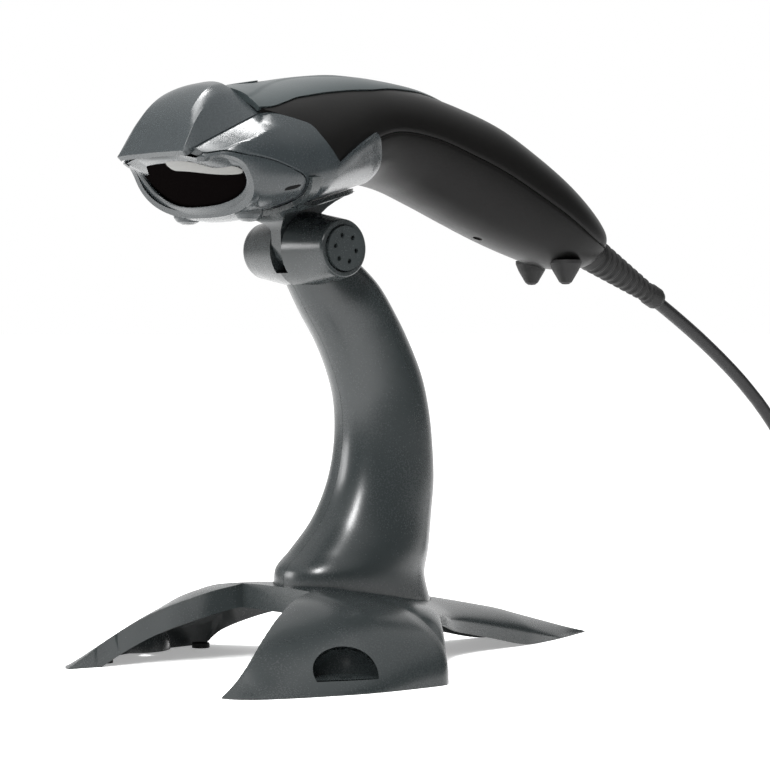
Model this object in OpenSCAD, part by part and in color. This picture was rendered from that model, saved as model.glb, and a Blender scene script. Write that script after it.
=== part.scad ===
// Corded handheld barcode scanner resting in the tilting cradle of a curved desk stand.
// Frame: +Z up, X across, the nose looks along -Y, the desk is Z = 0.

/* [Scanner shell] */
// Wall thickness of the moulded covers
wall = 2.2; // [1.8:0.1:2.4]
// Height the top button stands proud of the spine cover
button_h = 0.6; // [0.4:0.1:1.0]
// Thickness of the scan window
window_t = 1.6; // [1.2:0.1:2.0]
// Number of grooves in the cable boot
boot_ribs = 9; // [6:1:11]

/* [Inside the scanner] */
// Thickness of the main board
board_t = 1.6; // [1.0:0.2:1.6]
// Diameter of the laser module
laser_d = 8; // [6:0.5:9]
// Diameter of the scan mirror pivot pin
pivot_d = 1.5; // [1.2:0.1:1.8]

/* [Tilt joint] */
// Diameter of the pivot bolt
bolt_d = 4; // [3.6:0.1:4.4]
// Radial clearance of the cradle hub on the bolt
hub_clear = 0.05; // [0.03:0.01:0.09]
// Half thickness of the cradle neck in its slot
neck_hw = 2.4; // [2.2:0.1:2.5]

/* [Stand] */
// Wall thickness of the column and base
stand_wall = 2.4; // [2.0:0.1:2.8]
// Thickness of the steel ballast plate
ballast_t = 3; // [2:0.5:4]
// Clearance hole of the screw-down points
screw_hole_d = 4.2; // [3.8:0.1:4.6]

/* [Cable] */
// Outer diameter of the cable
cord_d = 4.8; // [4.6:0.1:5.0]

/* [Hidden] */
$fn = 48;

dy = -2.05;          // shifts the assembly so that the origin is under its middle
axis_y = -33.6;      // tilt axis
axis_z = 133;

function lerp(a, b, t) = a + (b - a) * t;
function clamp01(t) = max(0, min(1, t));
function smooth(a, b, t) = let(s = clamp01((t - a) / (b - a))) s * s * (3 - 2 * s);
// Catmull-Rom value of list p at parameter t
function cr(p, t) = let(n = len(p) - 1, i = min(max(floor(t), 0), n - 1), f = t - i,
    p0 = p[max(i - 1, 0)], p1 = p[i], p2 = p[i + 1], p3 = p[min(i + 2, n)])
    0.5 * ((2 * p1) + (p2 - p0) * f + (2 * p0 - 5 * p1 + 4 * p2 - p3) * f * f
        + (3 * p1 - p0 - 3 * p2 + p3) * f * f * f);
function spow(c, e) = sign(c) * pow(abs(c), e);
module at() translate([0, dy, 0]) children();

// Closed shell between an outer and an inner grid of points
module gridshell(nu, nv, fo, fi) {
    N = (nu + 1) * (nv + 1);
    pts = concat([for (i = [0:nu], j = [0:nv]) fo(i / nu, j / nv)],
        [for (i = [0:nu], j = [0:nv]) fi(i / nu, j / nv)]);
    function q(i, j) = i * (nv + 1) + j;
    faces = concat(
        [for (i = [0:nu - 1], j = [0:nv - 1]) each [[q(i, j), q(i, j + 1), q(i + 1, j + 1)],
            [q(i, j), q(i + 1, j + 1), q(i + 1, j)]]],
        [for (i = [0:nu - 1], j = [0:nv - 1]) each [[N + q(i, j), N + q(i + 1, j + 1), N + q(i, j + 1)],
            [N + q(i, j), N + q(i + 1, j), N + q(i + 1, j + 1)]]],
        [for (i = [0:nu - 1]) each [[q(i, 0), q(i + 1, 0), N + q(i + 1, 0)], [q(i, 0), N + q(i + 1, 0), N + q(i, 0)]]],
        [for (i = [0:nu - 1]) each [[q(i + 1, nv), q(i, nv), N + q(i, nv)], [q(i + 1, nv), N + q(i, nv), N + q(i + 1, nv)]]],
        [for (j = [0:nv - 1]) each [[q(0, j + 1), q(0, j), N + q(0, j)], [q(0, j + 1), N + q(0, j), N + q(0, j + 1)]]],
        [for (j = [0:nv - 1]) each [[q(nu, j), q(nu, j + 1), N + q(nu, j + 1)], [q(nu, j), N + q(nu, j + 1), N + q(nu, j)]]]);
    polyhedron(pts, faces, convexity = 6);
}
// Closed solid through rings of points, with flat ends
module loft(rings) {
    n = len(rings) - 1;
    k = len(rings[0]);
    faces = concat([[for (j = [0:k - 1]) j]], [[for (j = [k - 1:-1:0]) n * k + j]],
        [for (i = [0:n - 1], j = [0:k - 1]) let(j2 = (j + 1) % k) each
            [[i * k + j, (i + 1) * k + j, (i + 1) * k + j2], [i * k + j, (i + 1) * k + j2, i * k + j2]]]);
    polyhedron([for (r = rings) each r], faces, convexity = 6);
}
// Closed ring swept through sections of points
module ringtube(sec) {
    n = len(sec);
    k = len(sec[0]);
    faces = [for (i = [0:n - 1], j = [0:k - 1]) let(i2 = (i + 1) % n, j2 = (j + 1) % k) each
        [[i * k + j, i2 * k + j, i2 * k + j2], [i * k + j, i2 * k + j2, i * k + j2]]];
    polyhedron([for (r = sec) each r], faces, convexity = 6);
}
// Cylinder along X between two positions
module xcyl(x0, x1, r, fn = 48) translate([x0, 0, 0]) rotate([0, 90, 0]) cylinder(h = x1 - x0, r = r, $fn = fn);

// ---------------------------------------------------------------- scanner skin
// Each station: top point y z, bottom point y z, half width, height of the widest line, squareness
ST = [
    [-92, 160.5, -76, 142.8, 25, 0.52, 2.6],
    [-86, 173, -72.3, 141.8, 29.8, 0.42, 2.4],
    [-76, 180, -66, 142.2, 31.6, 0.34, 2.3],
    [-66, 182, -58, 144.4, 32.6, 0.28, 2.2],
    [-53, 184, -48, 146.4, 32.2, 0.28, 2.2],
    [-39, 186.4, -36, 149.4, 28.8, 0.35, 2.2],
    [-24, 188, -24, 152.5, 24.3, 0.42, 2.2],
    [-9, 187.7, -12, 154.8, 21.3, 0.48, 2.2],
    [9, 185.8, 2, 152.8, 20, 0.5, 2.2],
    [27, 182, 17, 147.7, 19.6, 0.5, 2.2],
    [44.5, 176.7, 31, 142.4, 19.4, 0.5, 2.2],
    [61, 168.8, 46, 137, 18.8, 0.5, 2.2],
    [76.3, 160.1, 61, 132.4, 17.6, 0.5, 2.2],
    [88.8, 151.4, 75, 128.9, 15, 0.5, 2.2],
    [97.6, 144.2, 87.5, 128.6, 10.8, 0.5, 2.1],
    [101.6, 139.4, 96.4, 131.8, 4.6, 0.5, 2.0]];
// Point of the skin at station t and angle a, moved out by o
function skin(t, a, o) = let(s = cr(ST, t), T = [s[0], s[1]], B = [s[2], s[3]], h = norm(T - B),
    u = (T - B) / h, c = B + u * h * s[5], hh = sin(a) >= 0 ? h * (1 - s[5]) : h * s[5], e = 2 / s[6],
    z = (hh + o) * spow(sin(a), e))
    [(s[4] + o) * spow(cos(a), e), c[0] + u[0] * z, c[1] + u[1] * z];
// Part of the skin between station curves ta(a), tb(a) and angles a0, a1, from offset oi to oo
module patch(ta, tb, a0, a1, oo, oi, nu, nv)
    gridshell(nu, nv,
        function(u, v) let(a = lerp(a0, a1, v), t = lerp(ta(a), tb(a), u)) skin(t, a, oo(t, a)),
        function(u, v) let(a = lerp(a0, a1, v), t = lerp(ta(a), tb(a), u)) skin(t, a, oi(t, a)));
// Angle measured from the horizontal, the same on both sides (90 at the top, -90 below)
function fold(a) = let(b = a < -90 ? -180 - a : a > 90 ? 180 - a : a) b;
function same(x) = function(t, a) x;
// Edges of the head pieces: angle, station
WING_REAR = [[0, 4.32], [6, 4.15], [18, 3.9], [29, 3.7], [34, 3.4], [38, 3.1], [42, 2.8], [45, 2.5]];
FIN_REAR = [[-90, 7.1], [-58, 6.7], [-42, 6.55], [-20, 6.3], [-7, 6.15], [0, 6.05], [5, 5.9]];
BEZEL_FRONT = [[-90, 0.8], [-50, 0.95], [-30, 0.95], [0, 0.9], [20, 0.55], [40, 0.15], [50, 0]];
BEZEL_REAR = [[-90, 2.7], [-64, 2.75], [-52, 2.9], [-42, 3.15], [-13, 3.1], [-1, 2.92], [4, 2.2], [8, 1.45],
    [12, 1], [20, 0.72], [40, 0.35], [50, 0.25]];
function shroud_rear(a) = let(b = fold(a)) b > 0 ? lookup(b, WING_REAR) : 4.35;
function bezel_rear(a) = lookup(fold(a), BEZEL_REAR);
function fin_front(a) = let(b = fold(a)) b > 0 ? 4.25 + 1.6 * b / 5 : 4.25;
function shroud_out(t) = 0.9 * smooth(3.6, 4.2, t);
function shroud_in(t) = lerp(-wall, 0.1, smooth(3.75, 4.1, t));
// The nose wraps back towards its sides; outer corner of the mouth rim
function rim(a, o) = skin(lookup(fold(a), BEZEL_FRONT), a, o);
// Mouth opening
function mouth(a) = let(c = cos(a), n = sin(a), x = 25.5 * spow(c, 0.85), z = n > 0 ? 156 + 3.4 * pow(n, 0.7) : 156 - 10.4 * pow(-n, 1.05))
    [x, -93 + (160.5 - z) * 1.13 + 8.5 * x * x / 650, z];

function bezel_at(o) = function(u, v) let(a = max(-228, min(48, -231 + 282 * v)))
    skin(lerp(lookup(fold(a), BEZEL_FRONT), bezel_rear(a) - 0.04, u), a, o);
module nose_bezel() color("dimgray") at() {
    gridshell(6, 47, bezel_at(0), bezel_at(-wall));
    // front face around the mouth
    ringtube([for (j = [0:59]) let(a = -180 + 6 * j, m = mouth(a), r = skin(lookup(fold(a), BEZEL_FRONT) + 0.22, a, -1.1 - 1.35 * smooth(4, 10, fold(a))), d = [0, 1.9, -0.9]) [m, r, r + d, m + d]]);
}
// Two rounded rests under the chin
module nose_bumpers() color("dimgray") at()
    for (s = [-1, 1]) difference() {
        translate([s * 15.5, -68.5, 0]) rotate_extrude()
            polygon([[0, 140.4], [1.8, 140.6], [3.4, 141.3], [4.4, 142.6], [4.6, 144.2], [0, 144.2]]);
        skin_core(0.3, 3.6, 26, 0.03);
    }
// The window plate closes the mouth behind its rim
module scan_window() color([0.1, 0.02, 0.02]) at() {
    ring = function(d, k) [for (j = [0:31]) let(p = mouth(360 * j / 32)) [p[0] * k, p[1] + d + 2.5, (p[2] - 154) * k + 152.8]];
    loft([ring(window_t, 0.995), ring(0, 0.995)]);
}
// Hood: a bent panel with a sloping facet down each side
HC = [[-94.5, 161], [-89.8, 171], [-85, 177.8], [-79.4, 182.2], [-73.2, 184]];
function hood_pt(u, v, o) = let(c = cr(HC, 4 * u), w = 2 * v - 1, s = sign(w), aw = abs(w),
    hw = lerp(16.8, 10.4, u), lo = [lerp(17.4, 22.2, u), lerp(-94, -67.8, u), lerp(160.6, 174.1, u)],
    f = clamp01((aw - 0.6) / 0.4), p = [hw * clamp01(aw / 0.6), c[0], c[1]], q = lerp(p, lo, f))
    [s * q[0] * (1 - o * 0.012), q[1] + o * 0.75, q[2] - o * (f > 0.99 ? 0.5 : 0.8)];
module nose_hood() color("slategray") at()
    gridshell(10, 10, function(u, v) hood_pt(1 - u, v, 0), function(u, v) hood_pt(1 - u, v, 1.6));
module head_shroud() color("slategray") at() union() {
    // side wings joined under the head
    patch(function(a) bezel_rear(a), function(a) shroud_rear(a), -225, 45,
        function(t, a) shroud_out(t), function(t, a) shroud_in(t), 10, 45);
    // fins that wrap the root of the handle
    patch(function(a) fin_front(a), function(a) lookup(fold(a), FIN_REAR), -185, 5,
        function(t, a) shroud_out(t), function(t, a) 0.1, 6, 34);
    // posts under the optics chassis
    for (x = [-8, 8]) translate([x, -54, 146.4]) cylinder(h = 5.86, r = 2.4);
}
// Spine cover on the back of the head and handle, narrowing to a point: station, half angle
SPINE = [[2.4, 44], [3, 43], [3.5, 40], [4, 37], [4.6, 38], [5.3, 40], [6.2, 42], [7.4, 31], [8.3, 15], [9, 2]];
function spine_front(w) = 2.45 + 0.36 * pow(abs(w), 1.3);
module spine_cover() color("slategray") at() difference() {
    gridshell(18, 14,
        function(u, v) let(w = 2 * v - 1, t = lerp(spine_front(w), 9, u)) skin(t, 90 + lookup(t, SPINE) * w, 1 - 0.6 * pow(abs(w), 4)),
        function(u, v) let(w = 2 * v - 1, t = lerp(spine_front(w), 9, u)) skin(t, 90 + lookup(t, SPINE) * w, 0.08 - 1.2 * (1 - smooth(2.6, 3.1, t))));
    button_frame() translate([0, 0, -8]) cylinder(h = 20, r = 5.3);
}
module button_frame() translate([0, -58.5, 182.9]) rotate([11, 0, 0]) children();
module handle_top() color([0.12, 0.12, 0.12]) at() difference() {
    patch(function(a) let(b = fold(a)) (b > 45 ? 3.1 : max(3.1, lookup(b, WING_REAR) + 0.07)), function(a) 15, 0.3, 179.7,
        function(t, a) 0, function(t, a) -wall, 28, 24);
    button_frame() translate([0, 0, -12]) cylinder(h = 24, r = 5.3);
    boot_space();
}
// Opening for the cable boot in the end of the handle
module boot_space() tail_frame() rotate([-90, 0, 0]) rotate_extrude()
    polygon([[0, -13], [5.06, -13], [5.06, -4.02], [6.26, -1.02], [6.5, 2], [6.5, 30], [0, 30]]);
// Solid under the skin between two stations
module skin_core(ta, tb, n, o) loft([for (i = [0:n]) let(t = lerp(ta, tb, i / n)) [for (j = [0:47]) skin(t, 0.2 - 7.5 * j, o)]]);
module handle_bottom() color([0.12, 0.12, 0.12]) at() difference() {
    union() {
        patch(function(a) 4.4, function(a) 15, -179.7, -0.3, same(0), same(-wall), 26, 24);
        // bosses for the board screws
        board_frame() for (p = [[-20, 21], [50, 16]]) translate([0, p[0], -p[1]]) cylinder(h = p[1] - 0.02, r = 2.8);
    }
    board_frame() for (y = [-20, 50]) translate([0, y, -7]) cylinder(h = 8, r = 1.27);
    // room for the optics chassis
    translate([-17.2, -67, 152.1]) cube([34.4, 33.3, 10]);
    // cable release hole
    translate([0, 42, 130]) cylinder(h = 14, r = 1.6);
    boot_space();
}
module tail_feet() color([0.06, 0.06, 0.06]) at()
    for (s = [-1, 1]) difference() {
        translate([s * 8.4, 76, 0]) rotate_extrude()
            polygon([[0, 123.1], [1.2, 123.2], [2.2, 123.9], [4.6, 128], [5.6, 130.4], [5.6, 131.6], [0, 131.6]]);
        skin_core(11, 14.8, 26, 0.03);
    }

// ---------------------------------------------------------------- inside the scanner
module board_frame() translate([0, 2, 168.5]) rotate([-17, 0, 0]) children();
module main_board() color("darkgreen") at() board_frame()
    difference() {
        translate([-12, -24, 0]) cube([24, 80, board_t]);
        for (y = [-20, 50]) translate([0, y, -1]) cylinder(h = 4, r = 1.3);
    }
module beeper() color([0.1, 0.1, 0.1]) at() board_frame() translate([0, 32, board_t]) difference() {
    cylinder(h = 5, r = 6);
    translate([0, 0, 3]) cylinder(h = 3, r = 1.2);
}
module status_led() color("lightgray") at() board_frame() translate([6, 4, board_t]) cylinder(h = 4, r = 1.5);
module trigger_switch() color("silver") at() button_frame() translate([-3, -3, -12.6]) difference() {
    cube([6, 6, 3.4]);
    translate([-1, -1, 3.2]) cube([8, 8, 1]);
}
module optics_chassis() color("gray") at() difference() {
    translate([-17, -66, 152.3]) cube([34, 32, 17]);
    translate([-15, -64.4, 154]) cube([30, 28.8, 13.6]);
    translate([-11, -70, 155.4]) cube([22, 8, 10.4]);
    // lower corners clear the handle
    for (x = [-15.5, 15.5]) translate([x, -50, 153.2 - 1.4]) rotate([0, 45, 0]) cube([3.4, 40, 3.4], center = true);
}
module laser_module() color("goldenrod") at() translate([-14.9, -58, 161]) rotate([0, 90, 0]) difference() {
    cylinder(h = 11, r = laser_d / 2);
    translate([0, 0, 9]) cylinder(h = 3, r = 1.5);
}
module collecting_mirror() color("lightsteelblue") at() difference() {
    translate([-9, -41, 154.05]) cube([18, 5.2, 13.4]);
    translate([0, -61, 161]) sphere(r = 22);
}
module photodiode_board() color("darkgreen") at() translate([6.5, -57, 154.05]) cube([8, 1.4, 11]);
module mirror_coil() color("peru") at() translate([0, -48, 154.05]) difference() {
    cylinder(h = 2.6, r = 4.4);
    translate([0, 0, -1]) cylinder(h = 5, r = 1.8);
}
module mirror_pivot() color("silver") at() translate([0, -48, 153.2]) cylinder(h = 15.2, r = pivot_d / 2);
module scan_mirror() color("lightcyan") at() translate([0, -48, 0]) difference() {
    union() {
        translate([-5, -1.5, 157]) cube([10, 1.2, 9]);
        translate([0, 0, 157]) cylinder(h = 9, r = 1.5);
    }
    translate([0, 0, 150]) cylinder(h = 20, r = pivot_d / 2 + 0.05);
}
// Modular jack in the tail, in line with the cable
module tail_frame() translate([0, 96.4, 134.8]) rotate([-25, 0, 0]) children();
module cable_socket() color([0.15, 0.15, 0.15]) at() tail_frame() difference() {
    translate([-7.5, -38, -5]) cube([15, 20, 11]);
    translate([-5.2, -34, -2.6]) cube([10.4, 20, 7.4]);
}
module cable_plug() color("whitesmoke") at() tail_frame() {
    translate([-4.8, -30, -2.5]) cube([9.6, 18, 6.2]);
}
module screw(l, r = 1.25) {
    difference() {
        cylinder(h = 2, r = 2.3);
        translate([0, 0, -0.1]) cylinder(h = 1.1, r = 0.9, $fn = 6);
    }
    translate([0, 0, 2]) cylinder(h = l, r = r);
}
module case_screws() color("silver") at() board_frame()
    for (y = [-20, 50]) translate([0, y, board_t + 2.05]) rotate([180, 0, 0]) screw(5.2);
// Button on the back of the head
module trigger_button() color("slategray") at() button_frame() {
    difference() {
        translate([0, 0, -0.9]) cylinder(h = 2.2 + button_h, r = 4.9);
        translate([0, 0, 21.2 + button_h]) sphere(r = 20.6, $fn = 64);
    }
    translate([0, 0, -8.2]) cylinder(h = 7.4, r = 2.2);
}
// ---------------------------------------------------------------- cable
module cable_boot() color([0.06, 0.06, 0.06]) at() tail_frame() rotate([-90, 0, 0]) difference() {
    rotate_extrude() polygon(concat([[cord_d / 2 + 0.02, -12], [5, -12], [5, -4], [6.2, -1]],
        [for (k = [0:boot_ribs - 1], j = [0:3]) let(x = 2 + (k + j / 4) * 31 / boot_ribs)
            [6.4 - 2.8 * x / 33 - (j == 1 || j == 2 ? 0.6 : 0), x]],
        [[3.6, 33], [4, 34], [4, 38], [3.4, 39.5], [cord_d / 2 + 0.02, 39.5]]));
}
// Route of the free cable: round points from the boot to the coil on the desk
ROUTE = [[0, 131.9, 117.4], [0, 139, 113.5], [0, 148, 108.3], [0, 158, 102.2], [0, 168, 95.6], [0, 178, 88.4],
    [0, 188, 80.2], [0, 197, 71.5], [0, 205, 62], [0, 212, 51.6], [0, 218, 40.4], [-1, 223.5, 29.5],
    [-4, 230, 19], [-8.5, 237.5, 10.6], [-14.5, 246, 5.4], [-21.6, 254.5, 3.2], [-28, 262.5, 2.7], [-32.4, 269.5, 2.6],
    [-34.8, 275, 2.6], [-35.4, 279.5, 2.6]];
COIL = [-2.5, 300];
coil_r = 26.5;
function dirn(i) = let(a = ROUTE[max(i - 1, 0)], b = ROUTE[min(i + 1, len(ROUTE) - 1)]) (b - a) / norm(b - a);
module cord() color([0.06, 0.06, 0.06]) at() loft([for (i = [0:len(ROUTE) - 1]) let(d = dirn(i), x = cross(d, [0, -d[2], d[1]]) ,
    e1 = cross(d, [0, 0, 1]), n1 = e1 / norm(e1), n2 = cross(n1, d))
    [for (k = [0:9]) ROUTE[i] + (cos(36 * k) * n1 - sin(36 * k) * n2) * cord_d / 2]]);
module cord_coil() color([0.06, 0.06, 0.06]) at() translate([COIL[0], COIL[1], 0]) rotate_extrude()
    translate([coil_r - 8.9, 0.7]) square([17.8, 17.9]);
module cord_tail() color([0.06, 0.06, 0.06]) at() translate([COIL[0] + 32.9, 274.45, 4]) rotate([-90, 0, 0]) cylinder(h = 5.6, r = cord_d / 2);
module cord_tie() color([0.1, 0.1, 0.1]) at() translate([COIL[0], COIL[1] + coil_r, 0])
    difference() {
        translate([-3, -10.3, 0]) cube([6, 20.3, 19.6]);
        translate([-4, -9.25, 0.65]) cube([8, 18.2, 18]);
    }
module usb_plug() color([0.08, 0.08, 0.08]) at() translate([COIL[0] + 32.9, 275, 0]) {
    translate([-8, -28, 0]) cube([16, 27.4, 8]);
    translate([-6, -46, 1.75]) cube([12, 18, 4.5]);
}

// ---------------------------------------------------------------- tilt joint
module hinge() translate([0, axis_y, axis_z]) children();
// Barrel profile: distance along the axis and radius
BR = [[0, 12.4], [4, 11.9], [8, 11.2], [12, 10.5], [16, 9.8], [19, 9.2]];
module barrel_solid(s) rotate([0, 90 * s, 0]) rotate_extrude()
    polygon(concat([[0, 0]], [for (p = BR) [p[1], p[0]]], s > 0 ? [[8.7, 19.5], [0, 19.5]]
        : [[9, 20.6], [7.6, 21.9], [5, 22.7], [0, 23]]));
module barrel_half(s) difference() {
    barrel_solid(s);
    // hub chamber
    xcyl(-neck_hw - 0.4, neck_hw + 0.4, 7.4);
    // slot for the neck, over the top
    difference() {
        translate([-neck_hw - 0.5, -16, -16]) cube([2 * neck_hw + 1, 32, 32]);
        translate([-8, -16, -17]) cube([16, 32, 9.4]);
    }
    xcyl(-30, 30, bolt_d / 2 + 0.02);
    if (s > 0) { xcyl(11.6, 20, 3.9); xcyl(16.9, 20, 7.2); }
    else translate([-16.6, 0, 0]) rotate([0, 90, 0]) cylinder(h = 3.4, r = 4.1, $fn = 6);
}
// Column stations: centre y, z, half width, half depth
CS = [[-13.6, 21.6, 18.4, 29], [-14.4, 29, 18, 27.2], [-10.6, 36, 17.2, 25.2], [-5.7, 46, 15.5, 21.9], [-2.4, 56, 14.4, 19.9],
    [-1, 66, 13.5, 18.2], [-1, 77, 12.8, 16.9], [-2.8, 88, 12.1, 15.9], [-6.8, 98, 11.8, 14.9],
    [-12.5, 108, 11.8, 14], [-19.8, 118, 11.8, 13.2], [-28, 127, 10, 11]];
function col_tilt(t) = t < 3 ? lerp(-0.142, 0.05, t / 3) : lerp(0.05, 0.42, (t - 3) / 8);
function col(t, a, o) = let(s = cr(CS, t), ee = 0.92, y = (s[3] + o) * spow(sin(a), ee), x = (s[2] + o) * spow(cos(a), ee))
    [x, s[0] + y, s[1] + col_tilt(t) * y];
module column_half(s) difference() {
    union() {
        mirror([s > 0 ? 0 : 1, 0, 0])
            gridshell(18, 14, function(u, v) col(11 * u, lerp(90, -90, v), 0),
                function(u, v) col(11 * u, lerp(90, -90, v), -stand_wall));
        // bosses for the screws from the base, with a rib to the wall
        for (y = POSTS) translate([s * POST_X, y, root_z(y) - 1.2]) {
            cylinder(h = y < 0 ? 8.2 : 10.2, r = 3.2);
            translate([-1.2, y < 0 ? -10.2 : 0, 0]) cube([2.4, y < 0 ? 10.2 : 8, 6]);
        }
        // bosses that join the two halves
        for (p = HALF_SCREWS) translate([0, p[0], p[1]]) xcyl(s > 0 ? 0.03 : -11.4, s > 0 ? 11.4 : -0.03, 3.2);
    }
    for (y = POSTS) translate([s * POST_X, y, 0]) cylinder(h = root_z(y) + 6, r = 1.52);
    // flat foot of the column
    translate([0, -13.6, 21.62]) rotate([-atan(0.142), 0, 0]) translate([-40, -60, -30]) cube([80, 120, 30]);
    for (p = HALF_SCREWS) translate([0, p[0], p[1]])
        if (s > 0) xcyl(-1, 5.5, 1.27); else { xcyl(-9, 1, 1.35); xcyl(-16, -7.5, 2.5); }
}
HALF_SCREWS = [[-5, 56], [-5, 90]];
function root_z(y) = 21.6 - 0.142 * (y + 13.6);
module stand_half(s) {
    difference() {
        column_half(s);
        translate([s > 0 ? -1 : -0.03, -70, 0]) cube([1.03, 120, 150]);
        hinge() xcyl(-30, 30, 10.6);
    }
    hinge() difference() { barrel_half(s); translate([s > 0 ? -30 : -0.03, -20, -20]) cube([30.03, 40, 40]); }
}
module stand_half_right() color("slategray") at() union() stand_half(1);
module stand_half_left() color("slategray") at() union() stand_half(-1);
module tension_cap() color("dimgray") at() hinge() difference() {
    xcyl(16.95, 20.4, 7.1);
    for (k = [0:5]) rotate([60 * k + 20, 0, 0]) translate([19, 0, 4.3]) rotate([0, 90, 0]) cylinder(h = 2, r = 0.8);
}
module pivot_bolt() color("silver") at() hinge() {
    xcyl(-15.4, 11.62, bolt_d / 2);
    difference() { xcyl(11.62, 14.6, 3.5); translate([13, 0, 0]) rotate([0, 90, 0]) cylinder(h = 3, r = 1.6, $fn = 6); }
}
module pivot_nut() color("silver") at() hinge() difference() {
    translate([-16.5, 0, 0]) rotate([0, 90, 0]) cylinder(h = 3.2, r = 4.0, $fn = 6);
    xcyl(-20, 0, bolt_d / 2 + 0.01);
}
module friction_washers() color("white") at() hinge() for (s = [-1, 1]) difference() {
    xcyl(s > 0 ? neck_hw + 0.02 : -neck_hw - 0.38, s > 0 ? neck_hw + 0.38 : -neck_hw - 0.02, 5.6);
    xcyl(-10, 10, bolt_d / 2 + 0.02);
}
// ---------------------------------------------------------------- cradle
// Underside of the head at a given station, pushed out by o
COLLAR = [[-90, 3.15], [-64, 3.15], [-50, 3.15], [-40, 3.2], [-6, 3.12]];
cup_gap = 0.45;
function cup_o(t) = cup_gap + 0.95 * smooth(3.45, 4.1, t);
// Underside of the cup at station t, measured from the tilt axis
function keel(t, o) = let(p = skin(t, -90, o)) [p[1] - axis_y, p[2] - axis_z];
NECK_TOP = [for (k = [0:9]) let(t = 3.35 + 3.45 * k / 9) keel(t, cup_o(t) + 0.9)];
// Rear end of the cup: angle from the keel, station
CUP_REAR = [[0, 6.9], [12, 6.3], [24, 5.4], [32, 4.5], [38, 3.6]];
module cradle() color("slategray") at() difference() {
    union() {
        // leaf-shaped cup under the head
        patch(function(a) 3.3, function(a) lookup(abs(a + 90), CUP_REAR), -128, -52, function(t, a) cup_o(t) + 1.6, function(t, a) cup_o(t), 14, 20);
        // front collar that rises to the widest line of the head
        patch(function(a) lookup(fold(a), COLLAR), function(a) lookup(fold(a), COLLAR) + 0.34, -174, -6, function(t, a) cup_o(t) + 1.6, function(t, a) cup_o(t), 2, 36);
        // neck blade, narrow in the slot
        hinge() translate([-neck_hw, 0, 0]) rotate([90, 0, 90]) linear_extrude(2 * neck_hw)
            polygon(concat([[7, -2], [7.5, 4], [6.2, 9], [4.9, 11.8], [10.5, 15.4], [14.7, 17.5]], [for (k = [9:-1:0]) NECK_TOP[k]],
                [[-17, 10.2], [-13.9, 9], [-11.9, 6], [-11.7, 1.5], [-9.6, -3]]));
        // the front of the neck spreads under the collar
        hinge() hull() {
            translate([-neck_hw + 0.05, -13.3, 6]) cube([2 * neck_hw - 0.1, 2.2, 1]);
            translate([-8, -18.5, 10.6]) cube([16, 4.4, 1]);
        }
        hinge() xcyl(-neck_hw, neck_hw, 7);
    }
    hinge() xcyl(-20, 20, bolt_d / 2 + hub_clear);
}

// ---------------------------------------------------------------- base
// Inner edge of each front foot, from the tip to the notch: y, x, z
BI = [[-97.5, 40, 0.4], [-92, 39, 3.8], [-87, 37.5, 7.4], [-82, 35.2, 10.9], [-77, 32.5, 14.2], [-72, 29.8, 17],
    [-67, 26.8, 19.3], [-62, 24, 21.2], [-57, 21.2, 23], [-52, 19.2, 24.4], [-47, 17.2, 25.6]];
// Outline of a front foot: y, x
FO = [[-97.5, 41.2], [-96.6, 43.4], [-95.3, 45.4], [-92.5, 48.2], [-89, 50.4], [-85.3, 52.2], [-77.4, 55.5], [-69, 58.3], [-60.6, 60.8],
    [-50.9, 62.4], [-40.4, 63.2]];
// Rear part: y, centre line height, outline half width, lower edge z
BC = [[-45.8, 26, 62.9, 0], [-36, 26, 63.4, 0], [-29.2, 25.2, 62.8, 0], [-24.8, 24.5, 57.5, 5.4], [-18, 23.4, 48.6, 10], [-12, 22.6, 41, 12.6],
    [-6, 21.8, 34.4, 13.4], [4, 20.6, 26, 11.6], [14, 19.2, 20.8, 8.6], [26, 17, 17.5, 6], [38, 14.6, 15.4, 3.4], [49.5, 12.2, 13.7, 0.8],
    [58, 9.9, 12.3, 0.1], [74, 5.6, 8, 0], [86, 2.4, 3.6, 0], [94, 0.5, 0.6, 0]];
// Row t from the tips (0) to the tail (26): y, height, half width, lower edge z, inner edge x
function base_row(t) = t < 10.5 ? let(b = cr(BI, min(t, 10))) [b[0], b[2], lookup(b[0], FO), 0, b[1]]
    : let(b = cr(BC, max(0, t - 11))) [b[0], b[1], b[2], max(0, b[3]), lerp(16.7, 0, smooth(-45.8, 40, b[0]))];
function foot_n(y) = lerp(1, 2.6, smooth(-86, -26, y));
function rear_n(y) = y < -26.5 ? foot_n(y) : lerp(2.6, 9, clamp01((y + 26.5) / 30));
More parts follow.
